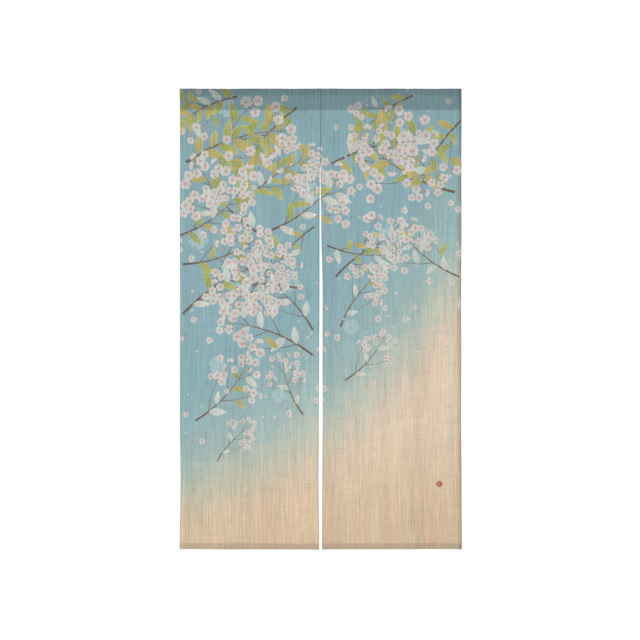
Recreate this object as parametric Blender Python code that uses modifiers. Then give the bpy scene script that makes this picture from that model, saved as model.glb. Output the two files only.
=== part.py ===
"""Noren: a door curtain of two loom widths of hemp, seamed side by side at the top.

The top of each width is folded to the back and stitched down, which makes the rod's sleeve.
The origin lies on the rod's axis at mid width. X runs along the rod, the front of the
cloth faces -Y and +Z is up. Depths are measured down from the top edge. Lengths are in metres.
"""

import math
from collections import namedtuple

import bmesh
import bpy

# The cloth
CLOTH = 0.0012
GAP = 0.0003
HEIGHT = 1.470

# The sleeve, and the room that it leaves round a rod 11 mm thick
SLEEVE_DEPTH = 0.067
ROD_ROOM = 0.0080
CREASE_ROOM = 0.0003
ARC_POINTS = 11
SIDE_POINTS = 3

# Where the sleeve stands off the rod: width of one pucker, how far it lifts, where it starts
Pucker = namedtuple("Pucker", "width reach start")
PUCKERS = (
    Pucker(0.213, 0.0003, -0.030),
    Pucker(0.091, 0.0002, 0.020),
)

# The hem, folded to the back
HEM_DEPTH = 0.019
HEM_THICKNESS = 2 * CLOTH + 0.0002
HEM_STEP = 0.0008
HEM_SAG = 0.0006
HEM_SAG_WIDTH = 0.80
HEM_LOWEST_X = -0.084

# The seam: the left width laps over the right one, down to the head of the slit
SEAM_END = 0.240
SLIT_HEAD = 0.252
SEAM_FADE = 0.070
LAP_STEP = CLOTH + GAP
LAP_FLAT = 0.006
LAP_END = 0.014

# Where the edges of the two widths lie at each depth, x from the middle
EdgeRow = namedtuple("EdgeRow", "depth left_outer left_inner right_inner right_outer")
EDGE_ROWS = (
    EdgeRow(0.000, -0.4498, 0.0006, -0.0034, 0.4490),
    EdgeRow(0.067, -0.4490, 0.0006, -0.0034, 0.4498),
    EdgeRow(0.240, -0.4488, 0.0006, -0.0034, 0.4490),
    EdgeRow(0.252, -0.4489, -0.0032, -0.0008, 0.4491),
    EdgeRow(0.450, -0.4493, -0.0036, 0.0022, 0.4494),
    EdgeRow(0.650, -0.4489, -0.0038, 0.0064, 0.4482),
    EdgeRow(0.850, -0.4486, -0.0050, 0.0062, 0.4487),
    EdgeRow(1.050, -0.4490, -0.0060, 0.0066, 0.4480),
    EdgeRow(1.250, -0.4471, -0.0070, 0.0050, 0.4496),
    EdgeRow(1.480, -0.4499, -0.0051, 0.0045, 0.4505),
)

# The slack folds that both widths hang in: width of one fold, how far it stands out at
# the hem, where it starts, and how far it drifts sideways on its way down
Fold = namedtuple("Fold", "width reach start drift")
FOLDS = (
    Fold(0.262, 0.0030, 0.060, 0.020),
    Fold(0.147, 0.0022, 0.020, -0.015),
    Fold(0.094, 0.0011, 0.035, 0.010),
)
FOLD_GROWTH = 1.3

# How far the free edges at the slit curl at the hem, forwards below zero
Curl = namedtuple("Curl", "reach width")
CURLS = {"left": Curl(-0.0042, 0.055), "right": Curl(0.0032, 0.080)}

# Places of the grid lines: shares of a width from its inner edge, and depths
LOOM_WIDTH = 0.450
INNER_COLUMNS = (0.0, LAP_FLAT, LAP_END, 0.030)
EVEN_COLUMNS = 22
SEAM_ROWS = 3
SLIT_ROWS = 13

SRGB_KNEE = 0.04045
PANEL_COLOUR = "b4b8a6"
SLEEVE_COLOUR = "74929a"
HEMP_ROUGHNESS = 0.9

SLEEVE_RADIUS = ROD_ROOM + CLOTH
TOP = SLEEVE_RADIUS
CREASE_HALF = CLOTH + CREASE_ROOM / 2
FRONT = -CREASE_HALF
STITCH_Z = TOP - SLEEVE_DEPTH


def ease(share):
    """Runs from 0 to 1 with a level start and end."""
    share = min(max(share, 0.0), 1.0)
    return share * share * (3 - 2 * share)


def clear_scene():
    for obj in list(bpy.data.objects):
        bpy.data.objects.remove(obj, do_unlink=True)


def linear(hex_colour):
    """The linear RGBA of an sRGB colour such as 74929a."""
    channels = []
    for place in (0, 2, 4):
        value = int(hex_colour[place:place + 2], 16) / 255
        low = value / 12.92
        high = ((value + 0.055) / 1.055) ** 2.4
        channels.append(low if value <= SRGB_KNEE else high)
    return (*channels, 1.0)


def hemp(name, hex_colour):
    material = bpy.data.materials.new(name)
    material.use_nodes = True
    shader = material.node_tree.nodes["Principled BSDF"]
    shader.inputs["Base Color"].default_value = linear(hex_colour)
    shader.inputs["Roughness"].default_value = HEMP_ROUGHNESS
    shader.inputs["Metallic"].default_value = 0.0
    return material


def edges_at(side, depth):
    """The x of one width's inner and outer edge at a depth."""
    rows = EDGE_ROWS
    index = max(i for i in range(len(rows) - 1) if rows[i].depth <= max(depth, 0.0))
    above, below = rows[index], rows[index + 1]
    share = ease((depth - above.depth) / (below.depth - above.depth))
    found = []
    for edge in ("inner", "outer"):
        start = getattr(above, f"{side}_{edge}")
        end = getattr(below, f"{side}_{edge}")
        found.append(start + share * (end - start))
    return found


def slack(x, depth):
    """How far the hanging cloth stands from its plane in the folds that both widths share."""
    growth = (max(depth, 0.0) / HEIGHT) ** FOLD_GROWTH
    reach = 0.0
    for fold in FOLDS:
        turns = (x - fold.start + fold.drift * depth / HEIGHT) / fold.width
        reach += fold.reach * math.sin(2 * math.pi * turns)
    return reach * growth


def curl(side, from_edge, depth):
    """How far the free edge at the slit turns out of the cloth's plane."""
    drop = ease((depth - SLIT_HEAD) / (HEIGHT - SLIT_HEAD))
    return CURLS[side].reach * drop * math.exp(-from_edge / CURLS[side].width)


def lap(from_edge, depth):
    """1 where the widths lap at the seam, 0 away from it."""
    across = 1 - ease((from_edge - LAP_FLAT) / (LAP_END - LAP_FLAT))
    down = 1 - ease((depth - SLIT_HEAD) / SEAM_FADE)
    return across * down


def hem_sag(x, depth):
    """How far the hem hangs below or above its even line."""
    turns = (x - HEM_LOWEST_X) / HEM_SAG_WIDTH
    return HEM_SAG * math.cos(2 * math.pi * turns) * (depth / HEIGHT) ** 3


def pucker(x):
    """How far the sleeve stands off the rod, more in some places than in others."""
    lift = 0.0
    for row in PUCKERS:
        lift += row.reach * (1 + math.sin(2 * math.pi * (x - row.start) / row.width))
    return lift


def column_shares():
    """Places of the columns across a width: 0 at its inner edge, 1 at its outer edge."""
    shares = [place / LOOM_WIDTH for place in INNER_COLUMNS]
    start = shares[-1]
    for step in range(1, EVEN_COLUMNS + 1):
        shares.append(start + (1 - start) * step / EVEN_COLUMNS)
    return shares


def row_depths():
    """Depths of a panel's rows, from the stitch line down to the hem's edge."""
    top = SLEEVE_DEPTH + GAP
    hem_top = HEIGHT - HEM_DEPTH
    depths = [top + (SEAM_END - top) * step / SEAM_ROWS for step in range(SEAM_ROWS + 1)]
    last = hem_top - HEM_STEP
    for step in range(SLIT_ROWS + 1):
        depths.append(SLIT_HEAD + (last - SLIT_HEAD) * step / SLIT_ROWS)
    return depths + [hem_top, HEIGHT]


def grid(columns, rows, place):
    """A sheet of columns by rows points, each at place(column, row)."""
    sheet = bmesh.new()
    bmesh.ops.create_grid(sheet, x_segments=columns - 1, y_segments=rows - 1, size=1.0)
    for point in sheet.verts:
        column = round((point.co.x + 1) / 2 * (columns - 1))
        row = round((point.co.y + 1) / 2 * (rows - 1))
        point.co = place(column, row)
    return sheet


def add_object(name, sheet, material, collection):
    mesh = bpy.data.meshes.new(name)
    sheet.to_mesh(mesh)
    sheet.free()
    mesh.materials.append(material)
    mesh.shade_smooth()
    mesh.set_sharp_from_angle(angle=math.radians(40))
    obj = bpy.data.objects.new(name, mesh)
    collection.objects.link(obj)
    return obj


def thicken(obj, thickness):
    """Gives the sheet its thickness, behind the side that its faces look to."""
    solid = obj.modifiers.new("cloth thickness", "SOLIDIFY")
    solid.thickness = thickness
    solid.offset = -1.0
    solid.use_even_offset = True
    return solid


def panel_point(side, share, depth):
    """A point on the front of a panel."""
    inner, outer = edges_at(side, depth)
    x = inner + share * (outer - inner)
    from_edge = abs(x - inner)
    y = FRONT + slack(x, depth) + curl(side, from_edge, depth)
    if side == "left":
        y -= LAP_STEP * lap(from_edge, depth)
    return x, y, TOP - depth - hem_sag(x, depth)


def make_panel(side, collection):
    """One loom width from the stitch line down, its hem doubled to the back."""
    shares = column_shares()
    depths = row_depths()
    if side == "left":
        shares.reverse()
    depths.reverse()
    sheet = grid(len(shares), len(depths),
                 lambda column, row: panel_point(side, shares[column], depths[row]))
    panel = add_object(f"panel_{side}", sheet, hemp(f"hemp panel {side}", PANEL_COLOUR), collection)
    hem = panel.vertex_groups.new(name="hem")
    hem_rows = [row for row, depth in enumerate(depths) if depth >= HEIGHT - HEM_DEPTH]
    hem.add(list(range(len(hem_rows) * len(shares))), 1.0, "REPLACE")
    solid = thicken(panel, HEM_THICKNESS)
    solid.vertex_group = hem.name
    solid.thickness_vertex_group = CLOTH / HEM_THICKNESS
    return panel


def sleeve_profile(swell, lift):
    """The sleeve's outline seen along the rod: up the front, over the rod, down the back.

    swell moves it outwards all round, and lift raises its stitched bottom edge.
    """
    radius = SLEEVE_RADIUS + swell
    half = CREASE_HALF + swell
    bottom = STITCH_Z + lift
    reach = math.hypot(half, bottom)
    leave = math.atan2(bottom, half) + math.acos(radius / reach)
    arc = []
    for step in range(ARC_POINTS):
        angle = math.pi - leave - (math.pi - 2 * leave) * step / (ARC_POINTS - 1)
        arc.append((radius * math.cos(angle), radius * math.sin(angle)))
    front = []
    for step in range(SIDE_POINTS + 1):
        share = step / (SIDE_POINTS + 1)
        front.append((-half + share * (arc[0][0] + half), bottom + share * (arc[0][1] - bottom)))
    back = [(-y, z) for y, z in reversed(front)]
    return front + arc + back


def sleeve_point(side, share, row):
    """A point on the outside of a sleeve. Where the widths lap, the left sleeve holds the right."""
    inner, outer = edges_at(side, SLEEVE_DEPTH)
    x = inner + share * (outer - inner)
    lapped = LAP_STEP * lap(abs(x - inner), SLEEVE_DEPTH)
    swell = pucker(x)
    lift = 0.0
    if side == "left":
        swell += lapped
    else:
        lift = lapped
    y, z = sleeve_profile(swell, lift)[row]
    inner, outer = edges_at(side, TOP - z)
    return inner + share * (outer - inner), y, z


def make_sleeve(side, collection):
    """The top of one loom width, folded round the rod's room and closed at the stitch line."""
    shares = column_shares()
    if side == "left":
        shares.reverse()
    rows = len(sleeve_profile(0.0, 0.0))
    tube = grid(len(shares), rows + 1,
                lambda column, row: sleeve_point(side, shares[column], row % rows))
    bmesh.ops.remove_doubles(tube, verts=tube.verts, dist=1e-6)
    sleeve = add_object(f"sleeve_{side}", tube, hemp(f"hemp sleeve {side}", SLEEVE_COLOUR), collection)
    thicken(sleeve, CLOTH)
    return sleeve


def main():
    clear_scene()
    collection = bpy.data.collections.new("noren")
    bpy.context.scene.collection.children.link(collection)
    for side in ("left", "right"):
        make_sleeve(side, collection)
        make_panel(side, collection)


main()
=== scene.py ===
# %% [markdown]
# A noren is a door curtain: loom widths of hemp, seamed side by side at the top, open below.
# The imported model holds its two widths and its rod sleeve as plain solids. This lesson puts
# the real cloth on them: thin, sewn, dyed and printed. Everything is in metres, in the
# model's own frame: x along the rod, -y out of the front, z up, the origin on the rod's axis.

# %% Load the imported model
import math
import random
from collections import namedtuple

import bpy
import numpy as np
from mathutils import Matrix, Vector
from mathutils.geometry import delaunay_2d_cdt


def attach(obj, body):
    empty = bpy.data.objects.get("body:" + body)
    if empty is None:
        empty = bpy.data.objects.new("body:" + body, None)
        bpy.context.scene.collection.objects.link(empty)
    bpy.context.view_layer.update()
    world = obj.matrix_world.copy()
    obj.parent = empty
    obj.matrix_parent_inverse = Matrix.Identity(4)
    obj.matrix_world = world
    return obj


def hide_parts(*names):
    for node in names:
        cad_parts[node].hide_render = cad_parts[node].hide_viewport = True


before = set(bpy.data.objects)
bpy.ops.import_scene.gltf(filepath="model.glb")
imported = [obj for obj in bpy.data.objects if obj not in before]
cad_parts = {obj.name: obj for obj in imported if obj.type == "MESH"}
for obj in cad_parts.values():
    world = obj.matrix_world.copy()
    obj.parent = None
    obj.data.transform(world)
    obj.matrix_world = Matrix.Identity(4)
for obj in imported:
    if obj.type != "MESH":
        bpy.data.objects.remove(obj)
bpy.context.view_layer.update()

MM = 0.001
print("solids:", ", ".join(sorted(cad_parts)))

# %% [markdown]
# The photograph shows the curtain square on, 1.47 m of it over 460 of the picture's 640
# pixels. A long lens a good way off keeps its edges upright, as there. The camera comes
# first, because the lens and the distance fix how large every later detail shows.

# %% Camera
PICTURE_SIDE = 640
MM_PER_PIXEL = 3.193
SENSOR = 36 * MM
CAMERA_DISTANCE = 7.0
HEIGHT = 1.470
SLEEVE_RADIUS = 9.2 * MM
TOP = SLEEVE_RADIUS
RISE_IN_PICTURE = 0.95 * MM_PER_PIXEL * MM
SHIFT_IN_PICTURE = 0.65 * MM_PER_PIXEL * MM


def add_object(name, data):
    """A new object in the scene."""
    item = bpy.data.objects.new(name, data)
    bpy.context.scene.collection.objects.link(item)
    return item


def make_camera():
    picture = PICTURE_SIDE * MM_PER_PIXEL * MM
    data = bpy.data.cameras.new("camera")
    data.sensor_width = SENSOR / MM
    data.lens = data.sensor_width * CAMERA_DISTANCE / picture
    camera = add_object("camera", data)
    camera.location = (-SHIFT_IN_PICTURE, -CAMERA_DISTANCE, TOP - HEIGHT / 2 - RISE_IN_PICTURE)
    camera.rotation_euler = (math.pi / 2, 0, 0)
    bpy.context.scene.camera = camera
    print("lens, mm:", round(data.lens, 1))


make_camera()

# %% [markdown]
# The cloth hangs almost flat. Its edges wander by a millimetre or two, and below the head of
# the slit the two widths part. A table gives where the edges lie at a few depths, measured
# down from the top, and a soft curve joins them. A spline through the same rows would swing
# past them. The rows are the same as in the solids, so that the cloth lies on those.

# %% The edges of the two widths
SLEEVE_DEPTH = 67 * MM
SLIT_HEAD = 252 * MM
EdgeRow = namedtuple("EdgeRow", "depth left_outer left_inner right_inner right_outer")
EDGE_ROWS_MM = (
    EdgeRow(0, -449.8, 0.6, -3.4, 449.0),
    EdgeRow(67, -449.0, 0.6, -3.4, 449.8),
    EdgeRow(240, -448.8, 0.6, -3.4, 449.0),
    EdgeRow(252, -448.9, -3.2, -0.8, 449.1),
    EdgeRow(450, -449.3, -3.6, 2.2, 449.4),
    EdgeRow(650, -448.9, -3.8, 6.4, 448.2),
    EdgeRow(850, -448.6, -5.0, 6.2, 448.7),
    EdgeRow(1050, -449.0, -6.0, 6.6, 448.0),
    EdgeRow(1250, -447.1, -7.0, 5.0, 449.6),
    EdgeRow(1480, -449.9, -5.1, 4.5, 450.5),
)


def ease(share):
    """Runs from 0 to 1 with a level start and end."""
    share = min(max(share, 0.0), 1.0)
    return share * share * (3 - 2 * share)


def edges_at(side, depth):
    """The x of one width's inner and outer edge at a depth."""
    rows = EDGE_ROWS_MM
    depth_mm = max(depth, 0.0) / MM
    index = max(i for i in range(len(rows) - 1) if rows[i].depth <= depth_mm)
    above, below = rows[index], rows[index + 1]
    share = ease((depth_mm - above.depth) / (below.depth - above.depth))
    found = []
    for edge in ("inner", "outer"):
        start = getattr(above, f"{side}_{edge}")
        end = getattr(below, f"{side}_{edge}")
        found.append((start + share * (end - start)) * MM)
    return found


SLIT_AT_HEM = edges_at("right", HEIGHT)[0] - edges_at("left", HEIGHT)[0]
print("width of the slit at the hem, mm:", round(SLIT_AT_HEM / MM, 1))

# %% [markdown]
# Long shallow folds grow towards the hem, the free edges at the slit curl a little, the
# hem's line is lowest a little left of the middle, and the sleeve puckers round the rod. At
# the seam one width laps over the other. A cloth simulation could make all this, but it
# would drift away from the solids. So each is a plain formula with its sizes in millimetres.

# %% Folds, curls and the lap
Fold = namedtuple("Fold", "width reach start drift")
FOLDS_MM = (Fold(262, 3.0, 60, 20), Fold(147, 2.2, 20, -15), Fold(94, 1.1, 35, 10))
FOLD_GROWTH = 1.3
Curl = namedtuple("Curl", "reach width")
CURLS_MM = {"left": Curl(-4.2, 55), "right": Curl(3.2, 80)}
Pucker = namedtuple("Pucker", "width reach start")
PUCKERS_MM = (Pucker(213, 0.3, -30), Pucker(91, 0.2, 20))
SEAM_FADE = 70 * MM
LAP_FLAT = 6 * MM
LAP_END = 14 * MM
HEM_SAG = 0.6 * MM
HEM_SAG_WIDTH = 800 * MM
HEM_LOWEST_X = -84 * MM
HEM_SAG_GROWTH = 3
HALF_WIDTH_MM = 450
SAMPLE_STEP_MM = 10


def wave(x, row):
    return math.sin(2 * math.pi * (x / MM - row.start) / row.width)


def slack(x, depth):
    """How far the cloth stands from its plane in the folds that both widths share."""
    growth = (max(depth, 0.0) / HEIGHT) ** FOLD_GROWTH
    reach = sum(fold.reach * wave(x + fold.drift * MM * depth / HEIGHT, fold) for fold in FOLDS_MM)
    return reach * MM * growth


def curl(side, from_edge, depth):
    """How far the free edge at the slit bends out of the cloth's plane."""
    drop = ease((depth - SLIT_HEAD) / (HEIGHT - SLIT_HEAD))
    row = CURLS_MM[side]
    return row.reach * MM * drop * math.exp(-from_edge / (row.width * MM))


def lap(from_edge, depth):
    """1 where the two widths lap at the seam, 0 away from it."""
    across = 1 - ease((from_edge - LAP_FLAT) / (LAP_END - LAP_FLAT))
    down = 1 - ease((depth - SLIT_HEAD) / SEAM_FADE)
    return across * down


def hem_sag(x, depth):
    """How much lower the cloth hangs at x than it would along a level line."""
    turns = (x - HEM_LOWEST_X) / HEM_SAG_WIDTH
    return HEM_SAG * math.cos(2 * math.pi * turns) * (depth / HEIGHT) ** HEM_SAG_GROWTH


def pucker(x):
    """How far the sleeve stands off the rod."""
    return sum(row.reach * MM * (1 + wave(x, row)) for row in PUCKERS_MM)


SAMPLES_MM = range(-HALF_WIDTH_MM, HALF_WIDTH_MM, SAMPLE_STEP_MM)
HEM_FOLDS = [slack(x * MM, HEIGHT) / MM for x in SAMPLES_MM]
print("folds at the hem reach, mm:", round(min(HEM_FOLDS), 1), "to", round(max(HEM_FOLDS), 1))

# %% [markdown]
# Each width is one long strip of cloth. It starts at the back of the sleeve, climbs over
# the rod, runs down the front, turns under at the hem and ends behind it. A place on the
# strip is given by x and by its run, the distance along the cloth. The run equals the depth
# on the front below the sleeve, and is smaller, then negative, over the rod and behind it.
# Sleeve, front and hem could be separate pieces, but one strip has no joints to hide.

# %% The strip over the rod and round the hem
CLOTH = 0.5 * MM
FRONT = -1.35 * MM
STITCH_Z = TOP - SLEEVE_DEPTH
CREASE_ROOM = 0.2 * MM
BACK_STITCH = FRONT + 2 * CLOTH + CREASE_ROOM
SLEEVE_TAIL = 3 * MM
HEM_DEPTH = 19 * MM
HEM_BEND = 0.9 * MM


def leave_angle(y):
    """The angle from level at which the run down to the stitch line at y leaves the rod."""
    return math.atan2(STITCH_Z, y) + math.acos(SLEEVE_RADIUS / math.hypot(y, STITCH_Z))


def straight_run(y):
    return math.sqrt(y * y + STITCH_Z * STITCH_Z - SLEEVE_RADIUS * SLEEVE_RADIUS)


Side = namedtuple("Side", "y leave arc straight")
FRONT_SIDE, BACK_SIDE = (
    Side(y, leave_angle(y), SLEEVE_RADIUS * (math.pi / 2 - leave_angle(y)), straight_run(y))
    for y in (-FRONT, BACK_STITCH)
)
CREST_RUN = SLEEVE_DEPTH - FRONT_SIDE.arc - FRONT_SIDE.straight
FIRST_RUN = CREST_RUN - BACK_SIDE.arc - BACK_SIDE.straight - SLEEVE_TAIL
HEM_TURN_RUN = HEIGHT - HEM_BEND
HEM_BACK_RUN = HEM_TURN_RUN + math.pi * HEM_BEND
LAST_RUN = HEM_BACK_RUN + HEM_DEPTH - HEM_BEND


def over_rod(run, swell, step):
    """(y, z) on the sleeve. swell and step stand it off the rod, step at its lower end too."""
    side = FRONT_SIDE if run >= CREST_RUN else BACK_SIDE
    way = abs(run - CREST_RUN)
    radius = SLEEVE_RADIUS + swell + step
    if way <= side.arc:
        turn = way / SLEEVE_RADIUS
        y, z = radius * math.sin(turn), radius * math.cos(turn)
    else:
        share = (way - side.arc) / side.straight
        top_y, top_z = radius * math.cos(side.leave), radius * math.sin(side.leave)
        part = min(share, 1.0)
        y = top_y + part * (side.y + step - top_y)
        z = top_z + share * (STITCH_Z - top_z)
    return (-y if side is FRONT_SIDE else y), z


def round_hem(run):
    """(depth, how far behind the front) of a run on the panel or round its hem."""
    if run <= HEM_TURN_RUN:
        return run, 0.0
    if run <= HEM_BACK_RUN:
        turn = (run - HEM_TURN_RUN) / HEM_BEND
        return HEM_TURN_RUN + HEM_BEND * math.sin(turn), HEM_BEND * (1 - math.cos(turn))
    return HEM_TURN_RUN - (run - HEM_BACK_RUN), 2 * HEM_BEND


print("cloth along one width, mm:", round((LAST_RUN - FIRST_RUN) / MM))

# %% [markdown]
# One function now puts all this together: it takes a side, an x on the flat strip and a run,
# and gives the point in the room. What is printed or sewn on later goes through it too, so
# that nothing drifts off the cloth. Where the widths lap, the left one stands in front.

# %% Hang one place on the strip
LAP_ROOM = 0.3 * MM
LAP_STEP = CLOTH + LAP_ROOM


def hang(side, flat_x, run):
    """The point of the hung cloth's outer face at a place on the strip."""
    flat_inner, flat_outer = edges_at(side, SLEEVE_DEPTH)
    share = (flat_x - flat_inner) / (flat_outer - flat_inner)
    from_edge = abs(flat_x - flat_inner)
    if run < SLEEVE_DEPTH:
        step = LAP_STEP * lap(from_edge, SLEEVE_DEPTH) if side == "left" else 0.0
        y, z = over_rod(run, pucker(flat_x), step)
        inner, outer = edges_at(side, TOP - z)
        return Vector((inner + share * (outer - inner), y, z))
    depth, behind = round_hem(run)
    inner, outer = edges_at(side, depth)
    x = inner + share * (outer - inner)
    y = FRONT + slack(x, depth) + curl(side, from_edge, depth) + behind
    if side == "left":
        y -= LAP_STEP * lap(from_edge, depth)
    return Vector((x, y, TOP - depth - hem_sag(x, depth)))


SLIT_CORNER = hang("left", edges_at("left", SLEEVE_DEPTH)[0], HEM_TURN_RUN)
print("left width's corner at the slit, mm:", [round(value / MM, 1) for value in SLIT_CORNER])

# %% [markdown]
# Colours are written as sRGB hex values, as they would be picked on a screen. The shaders
# work in linear light, so one function turns them, by the formula of the sRGB standard.

# %% Colours
SRGB_KNEE = 0.04045
SRGB_LOW = 12.92
SRGB_SHIFT = 0.055
SRGB_POWER = 2.4
HEX_BASE = 16
HEX_TOP = 255
HEX_PLACES = (0, 2, 4)


def linear(hex_colour):
    """An sRGB hex colour in linear light."""
    channels = []
    for place in HEX_PLACES:
        value = int(hex_colour[place:place + 2], HEX_BASE) / HEX_TOP
        high = ((value + SRGB_SHIFT) / (1 + SRGB_SHIFT)) ** SRGB_POWER
        channels.append(value / SRGB_LOW if value <= SRGB_KNEE else high)
    return channels


print("a mid grey of hex 808080 in linear light:", round(linear("808080")[0], 3))

# %% [markdown]
# The cloth carries a print, with the common motif of cherry sprays: twigs, leaves, buds and
# five-petalled blossoms. It is drawn first, as flat outlines on the strip, each with a colour
# at its start and one at its end, and a blend between them. An image could hold it too, but
# outlines stay crisp however near the camera comes, and need no second file.

# %% Outlines
INK = 0.92
Shape = namedtuple("Shape", "layer outline start end near far cover")
LAYERS = {"ghost": 0, "twig": 1, "stalk": 2, "leaf edge": 3, "leaf": 4, "vein": 5,
          "petal": 6, "stamens": 7, "heart": 8}


def anticlockwise(outline):
    """The outline turned the way that the cutting below asks for."""
    area = sum(a.x * b.y - b.x * a.y for a, b in zip(outline, outline[1:] + outline[:1]))
    return outline if area > 0 else outline[::-1]


def shape(layer, outline, start, end, near, far, cover=INK):
    """A flat outline whose colour runs from near, at start, to far, at end."""
    outline = anticlockwise(outline)
    return Shape(LAYERS[layer], outline, start, end, linear(near), linear(far), cover)


def turned(heading):
    """A step of length 1 towards the heading."""
    return Vector((math.cos(heading), math.sin(heading)))


def bow(start, heading, length, bend, steps):
    """Points of a line that sets off at heading and turns evenly by bend on its way."""
    points = [start]
    for i in range(steps):
        heading_here = heading + bend * (i + 0.5) / steps
        points.append(points[-1] + turned(heading_here) * length / steps)
    return points


def ribbon(layer, middle, widths, near, far, cover=INK):
    """A strip of varying width along a line of points, such as a twig or a leaf."""
    left, right = [], []
    for i, point in enumerate(middle):
        ahead = middle[min(i + 1, len(middle) - 1)] - middle[max(i - 1, 0)]
        aside = Vector((-ahead.y, ahead.x)).normalized() * widths[i] / 2
        left.append(point + aside)
        right.append(point - aside)
    return shape(layer, left + right[::-1], middle[0], middle[-1], near, far, cover)


print("layers of the print, from below:", ", ".join(LAYERS))

# %% [markdown]
# A cherry petal is a rounded fan with a small notch at its tip. It could be drawn by hand,
# point by point. It is eight points worked out by a formula instead, because a few hundred
# blossoms have to fit on the cloth, and the formula's values can be tried quickly.

# %% One petal
PETAL_STEPS = 4
PETAL_SPREAD = math.radians(36)
PETAL_SHOULDER = 0.30
PETAL_ROUNDING = 3
PETAL_NOTCH = 0.15
NOTCH_WIDTH = 0.25
PETAL_WAIST = 0.42
PETAL_FOOT = 0.06
PETAL_INK = 0.94
PETAL_TIPS = ("dedad4", "d8d4ce", "d2cfcc")
PETAL_FEET = ("d4c0b8", "cab6b1", "d3c4ba")
ORIGIN = Vector((0, 0))
TRIAL_REACH = 16 * MM


def petal(centre, heading, reach, foot, tip):
    """One notched petal that points away from the centre."""
    outline = [centre + turned(heading) * reach * PETAL_FOOT,
               centre + turned(heading - PETAL_SPREAD) * reach * PETAL_WAIST]
    for i in range(PETAL_STEPS + 1):
        across = -1 + 2 * i / PETAL_STEPS
        notch = PETAL_NOTCH * math.exp(-(across / NOTCH_WIDTH) ** 2)
        shoulder = PETAL_SHOULDER * abs(across) ** PETAL_ROUNDING
        length = reach * (1 - shoulder) * (1 - notch)
        outline.append(centre + turned(heading + across * PETAL_SPREAD) * length)
    outline.append(centre + turned(heading + PETAL_SPREAD) * reach * PETAL_WAIST)
    far = centre + turned(heading) * reach
    return shape("petal", outline, centre, far, foot, tip, PETAL_INK)


ONE_PETAL = petal(ORIGIN, 0, TRIAL_REACH, PETAL_FEET[0], PETAL_TIPS[0])
print("points in one petal:", len(ONE_PETAL.outline))

# %% [markdown]
# Five petals make a blossom, with a rosy star of stamens round a darker heart. A blossom
# that is seen from the side shows three. The petals of one blossom differ a little in size
# and tone, as those of a hand print do.

# %% Blossoms
PETAL_UNEVEN = (0.94, 1.04)
SIDE_PETAL_TURNS = (-0.75, 0.75, 0.0)
SIDE_PETAL_UNEVEN = (0.9, 1.05)
STAMENS = "ccaba0"
STAMENS_INNER = 0.14
STAMENS_OUTER = 0.46
CENTRE_INK = 0.9
HEART = "ad8176"
HEART_SIZE = 0.13
SIDE_HEART_SIZE = 0.17
HEART_ARMS = 3
PETALS = 5
FIFTH = 2 * math.pi / PETALS


def star(layer, centre, heading, inner, outer, arms, colour):
    """A ring of arms, or a plain disc where inner and outer are the same."""
    outline = []
    for i in range(2 * arms):
        radius = outer if i % 2 else inner
        outline.append(centre + turned(heading + math.pi * i / arms) * radius)
    return shape(layer, outline, centre, outline[0], colour, colour, CENTRE_INK)


def blossom(centre, heading, reach, dice):
    """An open blossom, seen from the front."""
    shapes = []
    tones = len(PETAL_TIPS)
    tone = dice.randrange(tones)
    for i in range(PETALS):
        size = reach * dice.uniform(*PETAL_UNEVEN)
        shapes.append(petal(centre, heading + i * FIFTH, size,
                            PETAL_FEET[(tone + 2 * i) % tones], PETAL_TIPS[(tone + i) % tones]))
    shapes.append(star("stamens", centre, heading, STAMENS_INNER * reach,
                       STAMENS_OUTER * reach, PETALS, STAMENS))
    heart = HEART_SIZE * reach
    shapes.append(star("heart", centre, heading, heart, heart, HEART_ARMS, HEART))
    return shapes


def side_blossom(centre, heading, reach, dice):
    """A blossom seen from the side: three petals that open away from its stalk."""
    shapes = []
    for i, turn in enumerate(SIDE_PETAL_TURNS):
        size = reach * dice.uniform(*SIDE_PETAL_UNEVEN)
        shapes.append(petal(centre, heading + turn, size, PETAL_FEET[i], PETAL_TIPS[i]))
    heart = SIDE_HEART_SIZE * reach
    shapes.append(star("heart", centre, heading, heart, heart, HEART_ARMS, HEART))
    return shapes


print("outlines in one blossom:", len(blossom(ORIGIN, 0, TRIAL_REACH, random.Random(1))))

# %% [markdown]
# A bud is a drop in a green cup. A leaf is a lens whose middle line bends, in a yellow
# green or, further down, a pale grey. On the cloth a brush leaves a pale drawn edge round
# it and a vein along it. Both are ribbons on the leaf's own middle line, one wider than the
# leaf and one thin, so that they follow every bend by themselves.

# %% Buds and leaves
STALK = "8a8350"
BUD = ("b9827a", "dcc3b8")
BUD_WAIST = 0.45
BUD_HALF_WIDTH = 0.3
BUD_FOOT = 0.4
BUD_CUP = 0.18
LEAF_GREEN = (("a09e38", "c6bd58"), ("8e9539", "bab551"), ("b09b40", "d0bd64"))
LEAF_PALE = (("c3c9c2", "dcdcd2"), ("cbc5bb", "dfdad0"))
LEAF_EDGE = "d3d6b8"
LEAF_EDGE_INK = 0.8
LEAF_STEPS = 6
LEAF_SKEW = 0.8
LEAF_TIP = 0.15 * MM
EDGE_BEYOND = 1.7 * MM
VEIN = 0.9 * MM
VEIN_TAPER = 0.8
VEIN_INK = 0.7
TRIAL_LEAF = (60 * MM, 22 * MM, 0.3)


def bud(centre, heading, reach):
    """A closed bud in its cup."""
    tip = centre + turned(heading) * reach
    waist = centre + turned(heading) * reach * BUD_WAIST
    side = turned(heading + math.pi / 2) * reach * BUD_HALF_WIDTH
    foot = side * BUD_FOOT
    outline = [centre - foot, waist - side, tip, waist + side, centre + foot]
    cup = star("heart", centre, heading, BUD_CUP * reach, BUD_CUP * reach, HEART_ARMS, STALK)
    return [shape("petal", outline, centre, tip, *BUD), cup]


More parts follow.
